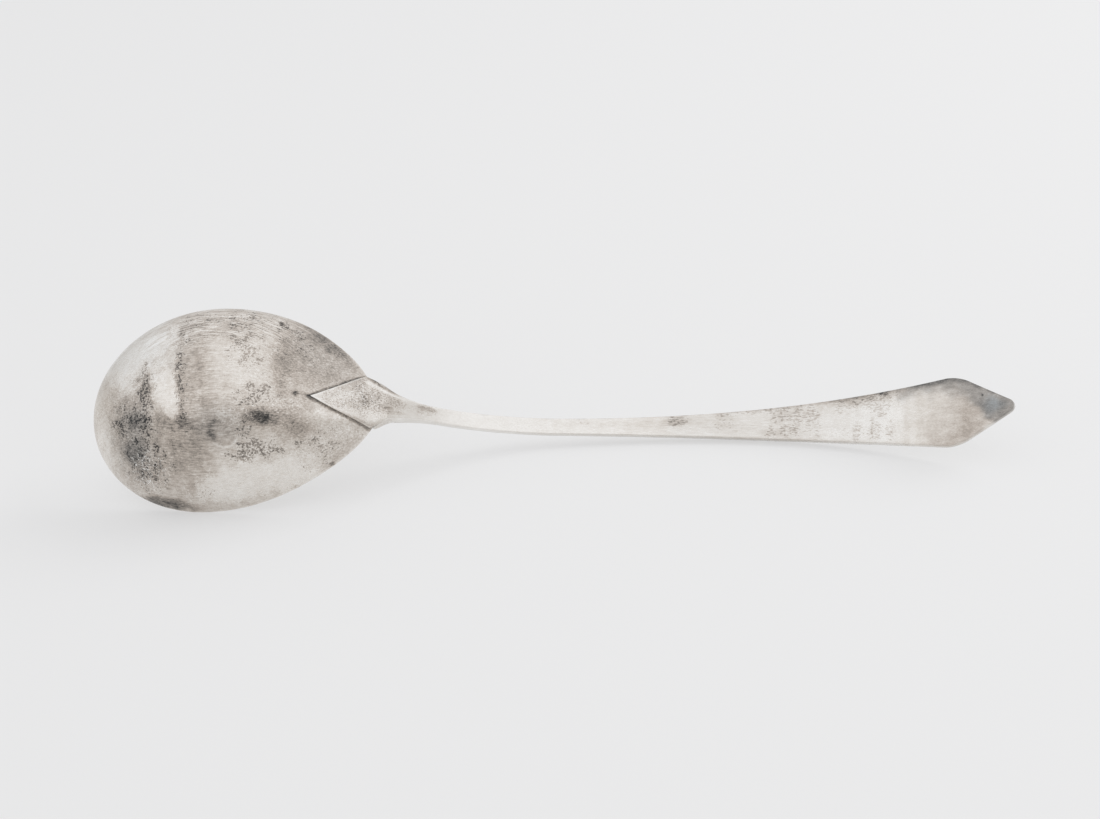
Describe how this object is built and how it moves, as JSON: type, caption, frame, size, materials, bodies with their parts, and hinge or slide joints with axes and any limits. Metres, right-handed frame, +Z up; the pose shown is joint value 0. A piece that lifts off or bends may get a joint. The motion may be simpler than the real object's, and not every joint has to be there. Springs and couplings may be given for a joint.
{
  "type": "ladle",
  "caption": "Serving ladle lying on its side: deep egg-shaped bowl, pointed drop on its back, swan-neck handle with a broad pointed end.",
  "frame": {"origin": "on the supporting surface, under the middle of the ladle's box as it lies", "axes": "+X from the bowl's lip to the handle's end, +Z up as it lies on its side, the bowl's back towards -Y and up"},
  "size_m": [0.3355, 0.0726, 0.0615],
  "materials": {
    "silver": "worn solid silver, satin, with grey-brown tarnish"
  },
  "bodies": {
    "root": {"bowl": "silver", "handle": "silver"}
  },
  "joints": []
}
